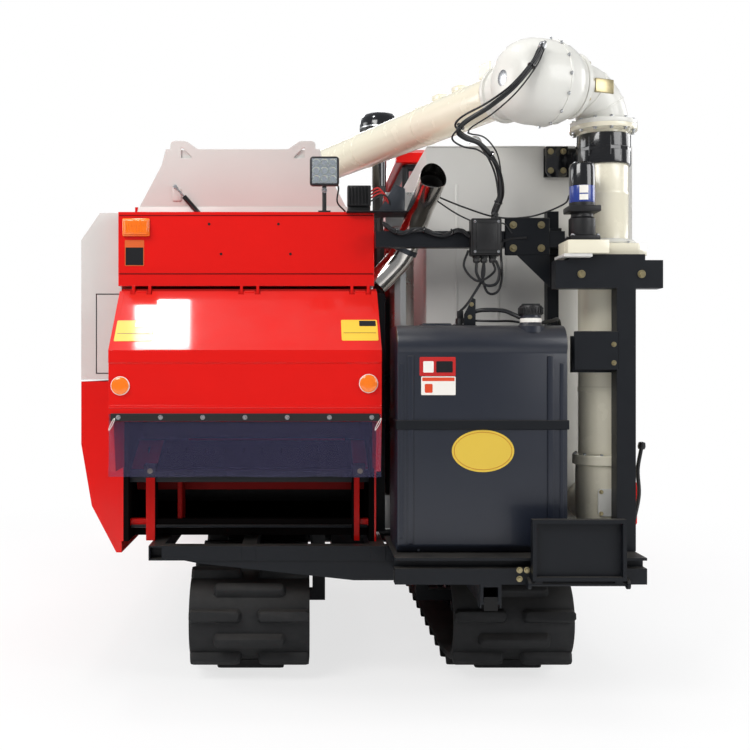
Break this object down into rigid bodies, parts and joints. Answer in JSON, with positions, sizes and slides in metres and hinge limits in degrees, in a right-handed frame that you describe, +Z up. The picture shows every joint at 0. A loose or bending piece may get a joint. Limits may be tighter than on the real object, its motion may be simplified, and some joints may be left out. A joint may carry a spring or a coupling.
{
  "type": "tracked combine harvester",
  "caption": "Tracked full-feed combine harvester with a reel header, red thresher, grain tank and a swinging unloading auger; header, reel, auger, hood, covers and step move.",
  "frame": {"origin": "on the ground, under the middle of the overall box", "axes": "+X to the machine's right, +Y towards the header (forward), +Z up"},
  "size_m": [2.37, 5.3, 2.76],
  "materials": {
    "track": "matte",
    "frame": "satin",
    "sprocket": "matte",
    "red": "gloss",
    "grey": "satin",
    "cream": "satin",
    "steel": "satin",
    "tank_navy": "satin",
    "black": "satin",
    "clear_sheet": "gloss",
    "block": "matte",
    "cable": "satin",
    "cushion": "matte",
    "roof": "gloss"
  },
  "bodies": {
    "root": {"track_left": "track", "track_right": "track", "track_frame_left": "frame", "track_frame_right": "frame", "drive_sprocket_left": "sprocket", "drive_sprocket_right": "sprocket", "travel_gearbox": "frame", "chassis_frame": "frame", "thresher_body": "red", "thresher_top_cover": "grey", "thresher_end_plate": "grey", "rear_upper_box": "red", "sieve_outlet_frame": "red", "grain_tank": "grey", "grain_elevator": "steel", "rear_carrier": "frame", "fuel_tank": "tank_navy", "fuel_filler_cap": "black", "auger_post_frame": "frame", "tank_bracket_post": "frame", "tube_collar": "frame", "junction_box": "black", "unload_boot": "cream", "swing_gear_case": "cream", "swing_motor": "tank_navy", "auger_rest": "frame", "auger_cable": "cable", "engine_block": "block", "engine_cover": "red", "air_precleaner": "black", "exhaust_pipe": "steel", "work_light": "black", "operator_platform": "frame", "seat_cushion": "cushion", "seat_back": "cushion", "control_console": "grey", "canopy_frame": "frame", "canopy_roof": "roof"},
    "unload_upper": {"swing_tube": "cream", "swing_elbow": "cream"},
    "unload_boom": {"lift_bell": "cream", "unload_tube": "cream", "unload_spout": "track"},
    "rear_hood": {"rear_hood": "red", "hood_curtain": "clear_sheet", "curtain_strip": "black"},
    "fuel_step": {"fuel_step": "frame"},
    "left_upper_cover": {"left_upper_cover": "grey"},
    "left_lower_cover": {"left_lower_cover": "red"},
    "tank_lid": {"tank_lid": "grey"},
    "radiator_door": {"radiator_door": "black"},
    "header": {"feeder_house": "red", "header_frame": "red", "cutter_bar": "steel"},
    "header_auger": {"header_auger": "red"},
    "reel_arms": {"reel_arms": "red"},
    "reel": {"reel": "red"},
    "ram_barrel": {"ram_barrel": "frame"},
    "ram_rod": {"ram_rod": "steel"}
  },
  "joints": [
    {"name": "header_lift", "type": "hinge", "parent": "root", "child": "header", "pos_m": [0, 0.565, 1.25], "axis": [1, 0, 0], "range_deg": [0, 30]},
    {"name": "reel_lift", "type": "hinge", "parent": "header", "child": "reel_arms", "pos_m": [0, 1.515, 0.87], "axis": [1, 0, 0], "range_deg": [0, 20]},
    {"name": "reel_spin", "type": "hinge", "parent": "reel_arms", "child": "reel", "pos_m": [0, 2.23, 1], "axis": [1, 0, 0], "continuous": true},
    {"name": "header_auger_spin", "type": "hinge", "parent": "header", "child": "header_auger", "pos_m": [0, 1.88, 0.42], "axis": [1, 0, 0], "continuous": true},
    {"name": "ram_tilt", "type": "hinge", "parent": "root", "child": "ram_barrel", "pos_m": [-0.3, 0.345, 0.5], "axis": [1, 0, 0], "range_deg": [0, 21.1]},
    {"name": "ram_slide", "type": "slide", "parent": "ram_barrel", "child": "ram_rod", "axis": [0, 0.9972, -0.0743], "range_m": [0, 0.3755]},
    {"name": "unload_swing", "type": "hinge", "parent": "root", "child": "unload_upper", "pos_m": [0.99, -2.25, 1.8], "axis": [0, 0, 1], "range_deg": [0, 200], "deforming": ["auger_cable"]},
    {"name": "unload_lift", "type": "hinge", "parent": "unload_upper", "child": "unload_boom", "pos_m": [0.68142, -2.38546, 2.443], "axis": [0.9157, 0.4019, 0], "range_deg": [0, 25]},
    {"name": "rear_hood_open", "type": "hinge", "parent": "root", "child": "rear_hood", "pos_m": [0, -2.162, 1.618], "axis": [-1, 0, 0], "range_deg": [0, 60]},
    {"name": "fuel_step_fold", "type": "hinge", "parent": "root", "child": "fuel_step", "pos_m": [0.7935, -2.63, 0.497], "axis": [1, 0, 0], "range_deg": [0, 90]},
    {"name": "left_upper_cover_open", "type": "hinge", "parent": "root", "child": "left_upper_cover", "pos_m": [-1.165, 0.42, 1.6], "axis": [0, 0, -1], "range_deg": [0, 90]},
    {"name": "left_lower_cover_open", "type": "hinge", "parent": "root", "child": "left_lower_cover", "pos_m": [-1.165, 0.42, 0.9], "axis": [0, 0, -1], "range_deg": [0, 90]},
    {"name": "tank_lid_open", "type": "hinge", "parent": "root", "child": "tank_lid", "pos_m": [1.1, -1.2, 2.277], "axis": [0, 1, 0], "range_deg": [0, 100]},
    {"name": "radiator_door_open", "type": "hinge", "parent": "root", "child": "radiator_door", "pos_m": [1.156, 0.406, 0.9], "axis": [0, 0, 1], "range_deg": [0, 100]}
  ],
  "couplings": [
    {"joint": "ram_tilt", "follows": "header_lift", "ratio": 0.7011},
    {"joint": "ram_slide", "follows": "header_lift", "m_per_rad": 0.71555}
  ]
}
